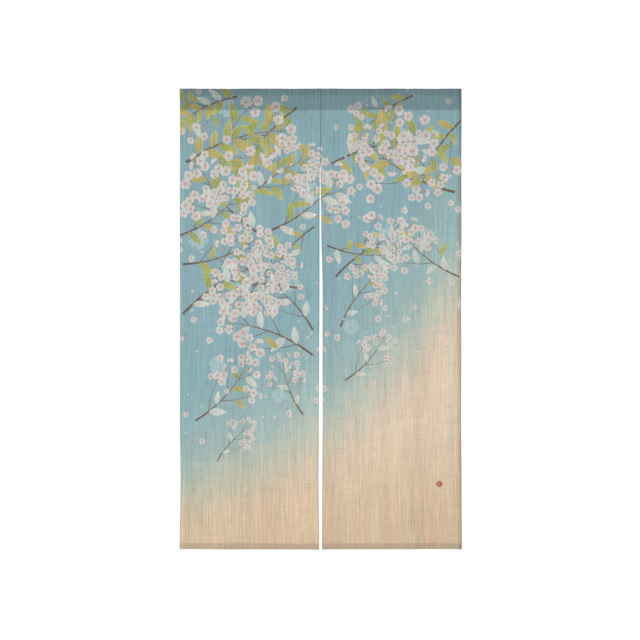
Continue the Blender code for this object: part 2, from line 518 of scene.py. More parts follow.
def leaf(base, heading, length, width, bend, tones):
    """A leaf with a drawn edge, a body and a vein along its bent middle."""
    middle = bow(base, heading, length, bend, LEAF_STEPS)
    shares = [i / LEAF_STEPS for i in range(LEAF_STEPS + 1)]
    body = [max(width * math.sin(math.pi * share ** LEAF_SKEW), LEAF_TIP) for share in shares]
    edge = [body[0], *(wide + EDGE_BEYOND for wide in body[1:-1]), body[-1]]
    vein = [VEIN * (1 - VEIN_TAPER * share) for share in shares[:-1:2]]
    return [ribbon("leaf edge", middle, edge, LEAF_EDGE, LEAF_EDGE, LEAF_EDGE_INK),
            ribbon("leaf", middle, body, *tones),
            ribbon("vein", middle[:-1:2], vein, LEAF_EDGE, LEAF_EDGE, VEIN_INK)]


ONE_LEAF = leaf(ORIGIN, 0, *TRIAL_LEAF, LEAF_GREEN[0])
print("points in one leaf:", sum(len(part.outline) for part in ONE_LEAF))

# %% [markdown]
# Cherry blossoms hang in clusters, each on a stalk of its own, from the end of a twig. Here
# they fan out in two or three rings. Drawn at random they would pile up, so each place is
# first held against those taken before, and no blossom covers another's heart.

# %% A cluster of blossoms
def is_free(place, gap, taken):
    """Takes the place if nothing that was drawn before lies within the gap."""
    if any((place - other).length < gap for other in taken):
        return False
    taken.append(place)
    return True


CLUSTER_SPREAD = 4.4
SPREAD_UNEVEN = 0.25
FULL_CLUSTER = 7
RINGS = 2
FULL_RINGS = 3
BLOSSOM_REACH_MM = (14.5, 18.0)
FIRST_RING_MM = 14
RING_STEP_MM = 13
RING_UNEVEN_MM = 8
STALK_STEPS = 3
STALK_BEND = 0.4
STALK_WIDTH = 1.0 * MM
FROM_THE_SIDE = 0.2
NOD = 0.3
CROWDING = 1.08
BUD_TURN = 2.0
BUD_WAY_MM = 16
BUD_REACH_MM = 11


def cluster(tip, heading, size, count, dice, taken):
    """Blossoms on short stalks that spread from the end of a twig."""
    shapes = []
    rings = RINGS if count < FULL_CLUSTER else FULL_RINGS
    for i in range(count):
        spread = (i - (count - 1) / 2) * CLUSTER_SPREAD / count
        turn = heading + spread + dice.uniform(-SPREAD_UNEVEN, SPREAD_UNEVEN)
        reach = size * dice.uniform(*BLOSSOM_REACH_MM) * MM
        ring = FIRST_RING_MM + RING_STEP_MM * (i % rings) + dice.uniform(0, RING_UNEVEN_MM)
        bend = dice.uniform(-STALK_BEND, STALK_BEND)
        stalk = bow(tip, turn, size * ring * MM, bend, STALK_STEPS)
        make = side_blossom if dice.random() < FROM_THE_SIDE else blossom
        if is_free(stalk[-1], CROWDING * reach, taken["blossom"]):
            shapes.append(ribbon("stalk", stalk, [STALK_WIDTH] * len(stalk), STALK, STALK))
            shapes += make(stalk[-1], turn + dice.uniform(-NOD, NOD), reach, dice)
    bud_foot = tip + turned(heading + BUD_TURN) * size * BUD_WAY_MM * MM
    return shapes + bud(bud_foot, heading + BUD_TURN, size * BUD_REACH_MM * MM)


ONE_CLUSTER = cluster(ORIGIN, 0, 1, 6, random.Random(1), {"blossom": []})
print("outlines in one cluster of six:", len(ONE_CLUSTER))

# %% [markdown]
# Leaves stand left and right in turn along a twig, each at its own angle and of its own
# length. Each row of the table further down says what share of them is green, and one that
# would lie on top of another is left out.

# %% Leaves along a twig
LEAF_TURN = (0.7, 1.15)
LEAF_LENGTH_MM = (50, 70)
LEAF_PLUMPNESS = (0.33, 0.42)
LEAF_BEND = 0.5
LEAF_CROWDING = 0.36


def leaves_along(twig, row, count, dice, taken):
    """Leaves set left and right in turn along a twig, but not at its two ends."""
    shapes = []
    places = len(twig) - 2
    for i in range(count):
        place = 1 + round((i + 0.5) / count * (places - 1))
        ahead = twig[place + 1] - twig[place]
        turn = (1 if i % 2 else -1) * dice.uniform(*LEAF_TURN)
        way = math.atan2(ahead.y, ahead.x) + turn
        tones = dice.choice(LEAF_GREEN if dice.random() < row.green else LEAF_PALE)
        long = row.size * dice.uniform(*LEAF_LENGTH_MM) * MM
        wide = long * dice.uniform(*LEAF_PLUMPNESS)
        bend = dice.uniform(-LEAF_BEND, LEAF_BEND)
        if is_free(twig[place] + turned(way) * long / 2, LEAF_CROWDING * long, taken["leaf"]):
            shapes += leaf(twig[place], way, long, wide, bend, tones)
    return shapes


print("leaves are", LEAF_LENGTH_MM[0], "to", LEAF_LENGTH_MM[1], "mm long on a spray of size 1")

# %% [markdown]
# A spray is a bowed twig with four side twigs, leaves along them all and a cluster at each
# end. It could grow from a branching rule, but then its place and its reach are left to
# chance. A fixed plan with a size, a heading and a bend can be placed like a stencil.

# %% One spray
TWIG_LENGTH = 290 * MM
TWIG_BEND = 0.6
TWIG_STEPS = 14
TWIG_MM = (8.0, 1.8)
TWIG = ("6b4839", "93674b")
SideTwig = namedtuple("SideTwig", "share turn length blossoms")
SIDE_TWIGS = (SideTwig(0.22, 0.85, 0.44, 5), SideTwig(0.42, -0.8, 0.40, 5),
              SideTwig(0.60, 0.8, 0.30, 4), SideTwig(0.78, -0.75, 0.20, 3))
SIDE_STEPS = 6
SIDE_TWIG_MM = (3.2, 1.4)
SIDE_BEND = 0.5
SIDE_LEAVES = 4
TIP_BLOSSOMS = 6
SprayRow = namedtuple("SprayRow", "x depth heading size flip leaves green bloom")


def tapered(size, foot_mm, tip_mm, steps):
    """Widths that fall evenly from the foot of a twig to its tip."""
    return [size * (foot_mm + (tip_mm - foot_mm) * i / steps) * MM for i in range(steps + 1)]


def spray(row, dice, taken):
    """A cherry spray whose twig starts at the row's place and sets off at its heading."""
    start = Vector((row.x, -row.depth)) * MM
    heading = math.radians(row.heading)
    length = row.size * TWIG_LENGTH
    bend = row.flip * TWIG_BEND
    middle = bow(start, heading, length, bend, TWIG_STEPS)
    shapes = [ribbon("twig", middle, tapered(row.size, *TWIG_MM, TWIG_STEPS), *TWIG)]
    shapes += leaves_along(middle, row, row.leaves, dice, taken)
    blossoms = round(row.bloom * TIP_BLOSSOMS)
    shapes += cluster(middle[-1], heading + bend, row.size, blossoms, dice, taken)
    for side in SIDE_TWIGS:
        root = middle[round(side.share * TWIG_STEPS)]
        way = heading + bend * side.share + row.flip * side.turn
        turn = -row.flip * side.turn * SIDE_BEND
        twig = bow(root, way, length * side.length, turn, SIDE_STEPS)
        shapes.append(ribbon("twig", twig, tapered(row.size, *SIDE_TWIG_MM, SIDE_STEPS), *TWIG))
        shapes += leaves_along(twig, row, row.leaves // SIDE_LEAVES, dice, taken)
        blossoms = round(row.bloom * side.blossoms)
        shapes += cluster(twig[-1], way + turn, row.size, blossoms, dice, taken)
    return shapes


TRIAL_ROW = SprayRow(0, 0, 0, 1, 1, 8, 1, 1)
ONE_SPRAY = spray(TRIAL_ROW, random.Random(1), {"blossom": [], "leaf": []})
print("outlines in one spray:", len(ONE_SPRAY))

# %% [markdown]
# A table places the sprays. Each row is one: where its twig starts, in millimetres
# from the middle and from the top, which way it sets off in degrees, its size, the side that
# it bends to, how many leaves it has, what share of them is green, and how full its clusters
# are. Leafy ones hang from the top, full ones in blossom below them, and small pale ones
# last, so that the print thins out downwards. Large ghosts of blossoms, hardly lighter than
# the ground, lie under it all and give it depth.

# %% Where the sprays lie
SPRAY_ROWS = (
    SprayRow(-430, 235, 35, 1.15, -1, 14, 1.0, 0.6),
    SprayRow(-75, 60, 215, 1.05, 1, 14, 1.0, 0.5),
    SprayRow(-265, 25, 190, 0.85, 1, 12, 0.9, 0.4),
    SprayRow(35, 240, 30, 1.10, -1, 12, 0.9, 0.8),
    SprayRow(455, 95, 222, 0.95, 1, 9, 0.8, 0.8),
    SprayRow(300, 20, 200, 0.80, 1, 8, 0.8, 0.7),
    SprayRow(15, 500, -24, 0.75, 1, 6, 0.6, 1.3),
    SprayRow(-225, 350, 50, 0.85, -1, 8, 0.9, 1.2),
    SprayRow(-455, 470, 18, 0.85, 1, 7, 0.8, 1.5),
    SprayRow(-180, 470, 150, 1.05, -1, 6, 0.6, 1.5),
    SprayRow(-165, 455, 20, 0.95, 1, 6, 0.6, 1.5),
    SprayRow(-55, 640, 165, 0.95, 1, 4, 0.3, 1.8),
    SprayRow(-440, 560, 2, 0.90, 1, 4, 0.4, 1.8),
    SprayRow(-250, 720, 72, 0.80, -1, 3, 0.3, 1.6),
    SprayRow(-15, 440, 212, 0.75, 1, 4, 0.4, 1.5),
    SprayRow(-20, 770, 118, 0.80, 1, 3, 0.2, 1.4),
    SprayRow(430, 330, 168, 1.10, -1, 7, 0.6, 1.4),
    SprayRow(40, 600, 48, 0.95, -1, 4, 0.3, 1.3),
    SprayRow(-440, 720, 48, 1.10, -1, 5, 0.4, 1.6),
    SprayRow(-20, 850, 142, 1.00, 1, 4, 0.2, 1.4),
    SprayRow(445, 600, 160, 0.80, -1, 4, 0.2, 0.9),
    SprayRow(-400, 1060, 30, 0.85, 1, 4, 0.1, 0.8),
    SprayRow(55, 760, 70, 0.75, -1, 3, 0.2, 1.3),
    SprayRow(70, 930, 30, 0.65, 1, 3, 0.1, 1.0),
    SprayRow(-50, 1040, 128, 0.65, -1, 3, 0.1, 1.0),
    SprayRow(-330, 1190, 62, 0.55, -1, 3, 0.1, 1.0),
)
GhostRow = namedtuple("GhostRow", "x depth reach")
GHOST_ROWS = (GhostRow(-300, 60, 34), GhostRow(-30, 330, 38), GhostRow(250, 150, 34),
              GhostRow(-390, 480, 36), GhostRow(210, 470, 34), GhostRow(-240, 640, 38),
              GhostRow(-90, 620, 30), GhostRow(340, 470, 28), GhostRow(-330, 880, 30),
              GhostRow(90, 760, 28), GhostRow(-130, 980, 26))
GHOST = ("b4cccd", "bfd0cf")
GHOST_INK = 0.55


def placed_sprays(dice, taken):
    """The ghosts and the sprays of the two tables."""
    shapes = []
    for row in GHOST_ROWS:
        place = Vector((row.x, -row.depth)) * MM
        for i in range(PETALS):
            flat = petal(place, row.depth + i * FIFTH, row.reach * MM, *GHOST)
            shapes.append(flat._replace(layer=LAYERS["ghost"], cover=GHOST_INK))
    for row in SPRAY_ROWS:
        shapes += spray(row, dice, taken)
    return shapes


print("sprays:", len(SPRAY_ROWS), "and ghosts of blossoms:", len(GHOST_ROWS))

# %% [markdown]
# Single blossoms and petals fill the room that the sprays leave, as if blown off, and reach
# lower at the left, as the sprays do. The dice throws a place, and a place too near to
# something drawn before is passed over. At the lower right one small red blossom stands
# by itself.

# %% Blossoms and petals adrift, and the whole print
DICE_SEED = 11
LOOSE_BLOSSOMS = 110
LOOSE_PETALS = 110
LOOSE_SIDE = 450 * MM
LOOSE_END = 1230 * MM
LOOSE_SLOPE = 0.38
LOOSE_LEAN = 0.8
LOOSE_GAP = 25 * MM
LOOSE_REACH_MM = (9, 13)
PETAL_GAP = 17 * MM
PETAL_REACH_MM = (8, 12)
RED_BLOSSOM_X = 377.7 * MM
RED_BLOSSOM_DEPTH = 1262 * MM
RED_BLOSSOM_REACH = 12 * MM
RED = ("a24440", "b5544c")


def adrift(dice, taken):
    """Single blossoms and petals where the sprays leave room."""
    solid = taken["blossom"] + taken["leaf"]
    found = []
    for i in range(LOOSE_BLOSSOMS + LOOSE_PETALS):
        x = dice.uniform(-LOOSE_SIDE, LOOSE_SIDE)
        lowest = LOOSE_END * (1 - LOOSE_SLOPE * (x + LOOSE_SIDE))
        place = Vector((x, -lowest * dice.random() ** LOOSE_LEAN))
        heading = dice.uniform(0, 2 * math.pi)
        if i < LOOSE_BLOSSOMS:
            if is_free(place, LOOSE_GAP, solid):
                found += blossom(place, heading, dice.uniform(*LOOSE_REACH_MM) * MM, dice)
        elif is_free(place, PETAL_GAP, solid):
            found.append(petal(place, heading, dice.uniform(*PETAL_REACH_MM) * MM,
                               dice.choice(PETAL_FEET), dice.choice(PETAL_TIPS)))
    return found


def draw_print():
    """Every outline of the print, from the lowest layer to the highest."""
    dice = random.Random(DICE_SEED)
    taken = {"blossom": [], "leaf": []}
    shapes = placed_sprays(dice, taken)
    shapes += adrift(dice, taken)
    mark = Vector((RED_BLOSSOM_X, -RED_BLOSSOM_DEPTH))
    for i in range(PETALS):
        shapes.append(petal(mark, math.pi / 2 + i * FIFTH, RED_BLOSSOM_REACH, *RED))
    return sorted(shapes, key=lambda item: item.layer)


PRINT = draw_print()
print("outlines in the print:", len(PRINT))

# %% [markdown]
# The flat strip needs points wherever it bends: wide apart on the broad folds, and close
# together over the rod, round the hem's edge and beside the slit. An even fine grid would do
# as well, but most of its points would lie where the cloth is almost flat.

# %% A grid fine enough for the folds
GRID_STEP = 18 * MM
ROD_STEP = 1.3 * MM
HEM_BEND_STEP = 0.35 * MM
HEM_STEP = 6 * MM
NEAR_EDGE_MM = (2, 4, 6, 10, 14, 20, 30)


def spaced(start, end, step):
    count = max(1, round((end - start) / step))
    return [start + (end - start) * i / count for i in range(count)]


def grid_runs():
    """Runs of the grid's rows, close together where the cloth bends."""
    rod_back = CREST_RUN - BACK_SIDE.arc
    rod_front = CREST_RUN + FRONT_SIDE.arc
    runs = spaced(FIRST_RUN, rod_back, GRID_STEP)
    runs += spaced(rod_back, rod_front, ROD_STEP)
    runs += spaced(rod_front, SLEEVE_DEPTH, GRID_STEP)
    runs += spaced(SLEEVE_DEPTH, HEM_TURN_RUN, GRID_STEP)
    runs += spaced(HEM_TURN_RUN, HEM_BACK_RUN, HEM_BEND_STEP)
    return runs + spaced(HEM_BACK_RUN, LAST_RUN, HEM_STEP) + [LAST_RUN]


def grid_columns(side):
    """The x of the grid's columns, close together beside the slit."""
    inner, outer = edges_at(side, SLEEVE_DEPTH)
    way = 1 if outer > inner else -1
    near = [0.0] + [step * MM for step in NEAR_EDGE_MM]
    places = near[:-1] + spaced(near[-1], abs(outer - inner), GRID_STEP)
    return [inner + way * place for place in places] + [outer]


print("rows of points:", len(grid_runs()), "and columns:", len(grid_columns("left")))

# %% [markdown]
# To keep the print crisp at any distance, its outlines are cut into the cloth's own mesh.
# A constrained Delaunay triangulation takes the outlines and the grid, and says which
# outlines hold each triangle. The last one drawn gives the triangle its colour.

# %% Cut the outlines into the flat cloth
CUT_TOLERANCE = 1e-6
WHOLE_HULL = 0


def cut_flat(side):
    """(points, triangles, index of the outline that each triangle shows, or None)."""
    runs = grid_runs()
    columns = grid_columns(side)
    points = [Vector((x, -run)) for run in runs for x in columns]
    last_row = (len(runs) - 1) * len(columns)
    faces = [[last_row, last_row + len(columns) - 1, len(columns) - 1, 0]]
    if side == "left":
        faces[0].reverse()
    low, high = min(columns), max(columns)
    kept = []
    for index, item in enumerate(PRINT):
        across = [point.x for point in item.outline]
        if min(across) < high and max(across) > low:
            faces.append(list(range(len(points), len(points) + len(item.outline))))
            points += item.outline
            kept.append(index)
    cut = delaunay_2d_cdt(points, [], faces, WHOLE_HULL, CUT_TOLERANCE, True)
    found, _, triangles, _, _, owners = cut
    inside = [(triangle, owner) for triangle, owner in zip(triangles, owners) if 0 in owner]
    tops = [kept[max(owner) - 1] if max(owner) else None for _, owner in inside]
    return *drop_unused(found, [triangle for triangle, _ in inside]), tops


def drop_unused(points, triangles):
    """Leaves out the points of outlines that reach past the cloth's edge."""
    used = sorted({corner for triangle in triangles for corner in triangle})
    place = {old: new for new, old in enumerate(used)}
    return [points[old] for old in used], [[place[c] for c in triangle] for triangle in triangles]


FLAT_CLOTHS = {side: cut_flat(side) for side in ("left", "right")}
for side, (_, triangles, _) in FLAT_CLOTHS.items():
    print("triangles on the", side, "width's face:", len(triangles))

# %% [markdown]
# Each flat point is hung by the function above, and a modifier gives the cloth its thickness
# of half a millimetre. The colours are kept at the corners of the triangles, so that two
# neighbours can differ sharply, and the flat places are kept as a map for the threads.

# %% Hang the cloth
TINY = 1e-12
UNPRINTED = [0.0, 0.0, 0.0, 0.0]


def tint(item, place):
    """The outline's colour at a place, with its cover in the fourth channel."""
    along = item.end - item.start
    share = (place - item.start).dot(along) / max(along.length_squared, TINY)
    share = min(max(share, 0.0), 1.0)
    return [a + share * (b - a) for a, b in zip(item.near, item.far)] + [item.cover]


def make_mesh(name, points, faces, places):
    """A smooth mesh whose map holds the place of each point on the flat strip."""
    mesh = bpy.data.meshes.new(name)
    mesh.from_pydata(points, [], faces)
    corners = [places[point] for face in faces for point in face]
    mesh.uv_layers.new(name="strip").data.foreach_set("uv", np.array(corners).ravel())
    mesh.shade_smooth()
    return mesh


def make_cloth(side):
    """One width of cloth as a thin closed mesh, its print held in a corner colour."""
    flat, triangles, tops = FLAT_CLOTHS[side]
    hung = [hang(side, place.x, -place.y) for place in flat]
    mesh = make_mesh(f"cloth_{side}", hung, triangles, flat)
    colours = []
    for triangle, top in zip(triangles, tops):
        if top is None:
            colours += [UNPRINTED] * len(triangle)
        else:
            colours += [tint(PRINT[top], flat[point]) for point in triangle]
    paint = mesh.color_attributes.new("print", "FLOAT_COLOR", "CORNER")
    paint.data.foreach_set("color", np.array(colours).ravel())
    top_face = max(mesh.polygons, key=lambda face: face.center.z)
    if top_face.normal.z < 0:
        mesh.flip_normals()
    cloth = add_object(f"cloth_{side}", mesh)
    solid = cloth.modifiers.new("thickness", "SOLIDIFY")
    solid.thickness = CLOTH
    solid.offset = -1.0
    return cloth


CLOTHS = {side: make_cloth(side) for side in FLAT_CLOTHS}
print("hung:", ", ".join(cloth.name for cloth in CLOTHS.values()))

# %% [markdown]
# A material here is a small graph of nodes. One helper adds a node, sets its settings and
# sets or links its inputs, so that each line below reads as one step of the sum.

# %% A helper that adds nodes
FACTOR, COLOUR_A, COLOUR_B, COLOUR_OUT = 0, 6, 7, 2
FAR = 2.0


def add_node(tree, kind, inputs, out=0, **settings):
    """Adds a node and gives back one of its outputs. Inputs are a list, or a dict by name."""
    node = tree.nodes.new("ShaderNode" + kind)
    for name, value in settings.items():
        setattr(node, name, value)
    named = inputs if isinstance(inputs, dict) else dict(enumerate(inputs))
    for name, value in named.items():
        socket = node.inputs[name]
        if isinstance(value, bpy.types.NodeSocket):
            tree.links.new(value, socket)
        else:
            socket.default_value = value
    return node.outputs[out] if len(node.outputs) else node


def new_material(name):
    """An empty material and its graph."""
    material = bpy.data.materials.new(name)
    material.use_nodes = True
    material.node_tree.nodes.clear()
    return material, material.node_tree


def cloth_place(tree):
    """The place on the strip, its x and its run, for the nodes to work from."""
    place = add_node(tree, "UVMap", [], uv_map="strip")
    split = add_node(tree, "SeparateXYZ", [place])
    run = add_node(tree, "Math", [split.node.outputs["Y"], -1.0], operation="MULTIPLY")
    return place, split, run


print("inputs of a colour mix:", FACTOR, COLOUR_A, COLOUR_B, "and its output:", COLOUR_OUT)

# %% [markdown]
# Threads show as streaks: noise that is squeezed across the thread and drawn out along it.
# The strip's own map is in metres, so a streak's size is simply its width and length in
# millimetres. Real hemp threads lie about 1.1 mm apart. A picture of 640 pixels shows
# 3.2 mm to a pixel, so the streaks are drawn two or three times as coarse, to show at all.

# %% Streaks of thread, and zones of the cloth
THREAD_SPACING_MM = 1.1
Streak = namedtuple("Streak", "across along gain seed")
SEED_SHIFT = (7.3, 3.1)
STREAK_ROUGHNESS = 0.6
PLAIN_DETAIL = 2.0
FINE_DETAIL = 3.0


def streaks(tree, place, row, detail=PLAIN_DETAIL):
    """Noise from 0 to 1 in streaks of about the row's width and length in millimetres."""
    scale = (1 / (row.across * MM), 1 / (row.along * MM), 1.0)
    shift = (row.seed * SEED_SHIFT[0], row.seed * SEED_SHIFT[1], 0.0)
    drawn = add_node(tree, "VectorMath", [place, scale], operation="MULTIPLY")
    moved = add_node(tree, "VectorMath", [drawn, shift], operation="ADD")
    return add_node(tree, "TexNoise", {"Vector": moved, "Scale": 1.0, "Detail": detail,
                                       "Roughness": STREAK_ROUGHNESS}, noise_dimensions="2D")


def zone(tree, value, start, end, soft, inside, outside=1.0):
    """inside where value lies from start to end, outside elsewhere, with soft borders."""
    middle = (start + end) / 2
    off = add_node(tree, "Math", [value, -middle], operation="ADD")
    far = add_node(tree, "Math", [off], operation="ABSOLUTE")
    half = (end - start) / 2
    return add_node(tree, "MapRange", [far, half - soft / 2, half + soft / 2, inside, outside],
                    interpolation_type="SMOOTHSTEP")


def product(tree, factors):
    """All the factors multiplied together."""
    whole = factors[0]
    for factor in factors[1:]:
        whole = add_node(tree, "Math", [whole, factor], operation="MULTIPLY")
    return whole


print("threads lie", THREAD_SPACING_MM, "mm apart on the real cloth")

# %% [markdown]
# The ground is dyed by hand with broad brushes, turquoise from above and sand from below,
# and the two bleed into each other along the threads. A curve holds how deep the border
# lies across the curtain. A ramp holds the colours by their distance from that border, and
# two noises move the border: a broad one for the brush, and a long thin one for the bleed.

# %% The dyed ground
MidRow = namedtuple("MidRow", "x depth")
MID_ROWS_MM = (MidRow(-448, 1282), MidRow(-340, 1236), MidRow(-205, 1184), MidRow(-70, 1108),
               MidRow(30, 1046), MidRow(110, 984), MidRow(200, 890), MidRow(290, 802),
               MidRow(350, 697), MidRow(430, 594))
LEFT_X = -450
ACROSS = 900
DOWN = 1500
BLEND_LOW = -1.30
BLEND_HIGH = 0.85
Dye = namedtuple("Dye", "past_middle colour")
DYES = (Dye(-1.30, "8dadb5"), Dye(-0.90, "90b1ba"), Dye(-0.35, "92b4bd"), Dye(-0.22, "9bb9bd"),
        Dye(-0.13, "a4bec0"), Dye(-0.06, "afc3c0"), Dye(0.00, "c2cabf"), Dye(0.075, "d1cdbd"),
        Dye(0.13, "dccebb"), Dye(0.22, "e1d1bb"), Dye(0.60, "dfceb7"))
LEFT_SPREAD = 0.85
RIGHT_SPREAD = 1.30
HALF_WAY = 0.5
WANDER_MM = Streak(60, 45, 0.08, 1)
BLEED_MM = Streak(5, 160, 0.09, 2)


def dye_middle(tree, across):
    """The depth at which turquoise turns to sand, at each place across the curtain."""
    share = add_node(tree, "Math", [across, 1 / (ACROSS * MM), -LEFT_X / ACROSS],
                     operation="MULTIPLY_ADD")
    curved = add_node(tree, "FloatCurve", {"Value": share})
    mapping = curved.node.mapping
    places = [((row.x - LEFT_X) / ACROSS, row.depth / DOWN) for row in MID_ROWS_MM]
    mapping.curves[0].points[0].location = places[0]
    mapping.curves[0].points[1].location = places[-1]
    for place in places[1:-1]:
        mapping.curves[0].points.new(*place)
    mapping.update()
    return add_node(tree, "Math", [curved, DOWN * MM], operation="MULTIPLY")


def dyed(tree, place, across, run):
    """The colour of the dyed ground."""
    wander = streaks(tree, place, WANDER_MM)
    bleed = streaks(tree, place, BLEED_MM, detail=FINE_DETAIL)
    down = add_node(tree, "Math", [wander, WANDER_MM.gain, run], operation="MULTIPLY_ADD")
    down = add_node(tree, "Math", [bleed, BLEED_MM.gain, down], operation="MULTIPLY_ADD")
    past = add_node(tree, "Math", [down, dye_middle(tree, across)], operation="SUBTRACT")
    mean = (WANDER_MM.gain + BLEED_MM.gain) / 2
    past = add_node(tree, "Math", [past, -mean], operation="ADD")
    spread = add_node(tree, "MapRange", [across, LEFT_X * MM, -LEFT_X * MM,
                                         LEFT_SPREAD, RIGHT_SPREAD])
    past = add_node(tree, "Math", [past, spread], operation="DIVIDE")
    span = BLEND_HIGH - BLEND_LOW
    share = add_node(tree, "Math", [past, 1 / span, -BLEND_LOW / span], operation="MULTIPLY_ADD")
    colour = add_node(tree, "ValToRGB", {"Fac": share})
    stops = colour.node.color_ramp.elements
    while len(stops) < len(DYES):
        stops.new(HALF_WAY)
    for stop, dye in zip(stops, DYES):
        stop.position = (dye.past_middle - BLEND_LOW) / span
        stop.color = (*linear(dye.colour), 1.0)
    return colour


print("the dyes meet at depths of", MID_ROWS_MM[0].depth, "mm at the left and",
      MID_ROWS_MM[-1].depth, "mm at the right")

# %% [markdown]
# Hemp is a bast fibre of uneven length, so its threads run thick and thin. Warp that differs
# a little in tone gives upright stripes. Thick places, the slubs, show as short dark dashes.
# Where cloth lies double, in the sleeve, the lapped seam and the hem, less light comes
# through it, and that darkness is painted into the colour as shade. The dense selvedge is
# painted darker in the same way. Painted shade also darkens the fold over the rod at the top
# of the sleeve and the hem's turned edge, and a faint darkening lies just below the sleeve.
# All of it is one product of noises and soft borders, because a painted map would need
# millions of dots.

# %% Light and dark in the cloth, and its painted shade
THREADS_MM = (Streak(30, 500, 0.16, 3), Streak(4.6, 230, 0.42, 4), Streak(2.3, 80, 0.40, 5))
WEFT_MM = Streak(110, 2.4, 0.22, 6)
Slub = namedtuple("Slub", "across along low high factor seed")
SLUBS_MM = (Slub(3.4, 55, 0.63, 0.73, 0.81, 7), Slub(2.0, 24, 0.64, 0.76, 0.84, 8),
            Slub(90, 2.8, 0.64, 0.76, 0.87, 13))
EVEN_OUT = 1.155
TOP_STRIP = 21 * MM
SELVEDGE = 3.2 * MM
SELVEDGE_SOFT = 2 * MM
OUTER_EDGE = 449.4 * MM
SEAM_MIDDLE = -1.4 * MM
SEAM_HALF = 2.2 * MM
SEAM_SOFT = 1.6 * MM
Zone = namedtuple("Zone", "start end soft factor")
# Painted shade: factors that darken the colour where the cloth lies double in the sleeve and the
# hem, over the fold at the top of the rod and its ridge, and at the hem's turned edge.
SLEEVE_SHADE = Zone(-FAR, SLEEVE_DEPTH, 5 * MM, 0.75)
ROD_FOLD_SHADE = Zone(-TOP_STRIP, TOP_STRIP, 9 * MM, 0.84)
RIDGE_SHADE = Zone(-5 * MM, 5 * MM, 4 * MM, 0.82)
HEM_SHADE = Zone(HEIGHT - HEM_DEPTH, FAR, 3 * MM, 0.84)
HEM_EDGE_SHADE = Zone(HEIGHT - 3 * MM, FAR, 3 * MM, 0.86)
# Painted shade at the lapped seam and along the selvedges. TOP_FADE darkens the cloth faintly just
# below the sleeve, fading out by TOP_FADE_END.
SEAM_SHADE = 0.90
TOP_FADE = 0.94
TOP_FADE_END = 250 * MM
SELVEDGE_SHADE = 0.86


def thread_light(tree, place):
    """How light or dark the threads are, about 1."""
    factors = []
    for row in (*THREADS_MM, WEFT_MM):
        noise = streaks(tree, place, row, detail=FINE_DETAIL)
        factors.append(add_node(tree, "Math", [noise, row.gain, 1 - row.gain / 2],
                                operation="MULTIPLY_ADD"))
    for row in SLUBS_MM:
        noise = streaks(tree, place, row)
        factors.append(add_node(tree, "MapRange", [noise, row.low, row.high, 1.0, row.factor]))
    return product(tree, [*factors, EVEN_OUT])


def painted_shade(tree, across, run):
    """Painted shade on doubled, dense and folded cloth, and a darkening below the sleeve."""
    # The zones paint shade into the colour: the doubled sleeve and hem, the fold over the rod and
    # its ridge, the hem's turned edge and the dense selvedges.
    factors = [zone(tree, run, *row)
               for row in (SLEEVE_SHADE, ROD_FOLD_SHADE, RIDGE_SHADE, HEM_SHADE, HEM_EDGE_SHADE)]
    aside = add_node(tree, "Math", [across], operation="ABSOLUTE")
    factors.append(zone(tree, aside, OUTER_EDGE - SELVEDGE, FAR, SELVEDGE_SOFT, SELVEDGE_SHADE))
    factors.append(add_node(tree, "MapRange", [run, SLEEVE_DEPTH, TOP_FADE_END, TOP_FADE, 1.0]))
    # Painted shade along the lapped seam above the slit's head, and along the selvedges of the
    # slit below it.
    lapped = zone(tree, run, -FAR, SLIT_HEAD, SELVEDGE_SOFT, SEAM_SHADE, SELVEDGE_SHADE)
    near = zone(tree, across, SEAM_MIDDLE - SEAM_HALF, SEAM_MIDDLE + SEAM_HALF,
                SEAM_SOFT, 1.0, 0.0)
    less = add_node(tree, "Math", [lapped, -1.0], operation="ADD")
    factors.append(add_node(tree, "Math", [less, near, 1.0], operation="MULTIPLY_ADD"))
    return product(tree, factors)


print("noises in the cloth's light and dark:", len(THREADS_MM) + 1 + len(SLUBS_MM))

# %% [markdown]
# The warp takes the dye unevenly, so broad stripes are tinted a little rose or green, the
# outer edge at the right has two stripes of its own, and the sand grows warmer towards the
# hem. The print soaks into the threads unevenly too, so its colours are laid over the ground
# through streaks. Both could be painted by hand, but would then not follow the threads.

# %% Tints in the warp, and the print on the cloth
LOW_SAND = (*linear("f4eee6"), 1.0)
LOW_SAND_FROM = 1.08
LOW_SAND_TO = 1.40
ROSE = (*linear("fdf6f6"), 1.0)
GREEN = (*linear("f8faf5"), 1.0)
TINT_MM = Streak(17, 420, 0.0, 9)
TINT_RANGE = (0.36, 0.64)
EDGE_STRIPES = (Zone(411 * MM, 431 * MM, 6 * MM, (*linear("f7ffff"), 1.0)),
                Zone(433 * MM, FAR, 6 * MM, (*linear("fffaf5"), 1.0)))
INK_MM = Streak(3.0, 34, 0.0, 14)
INK_RANGE = (0.38, 0.52)
INK_MISSES = 0.68


def tinted(tree, place, across, run, colour):
    """The colour with the rose and green of its uneven warp, warmer near the hem."""
    share = add_node(tree, "MapRange", [streaks(tree, place, TINT_MM), *TINT_RANGE])
    hue = add_node(tree, "Mix", {FACTOR: share, COLOUR_A: ROSE, COLOUR_B: GREEN},
                   out=COLOUR_OUT, data_type="RGBA")
    tones = [(1.0, hue)]
    for row in EDGE_STRIPES:
        tones.append((zone(tree, across, row.start, row.end, row.soft, 1.0, 0.0), row.factor))
    tones.append((add_node(tree, "MapRange", [run, LOW_SAND_FROM, LOW_SAND_TO]), LOW_SAND))
    for reach, tone in tones:
        colour = add_node(tree, "Mix", {FACTOR: reach, COLOUR_A: colour, COLOUR_B: tone},
                          out=COLOUR_OUT, data_type="RGBA", blend_type="MULTIPLY")
    return colour


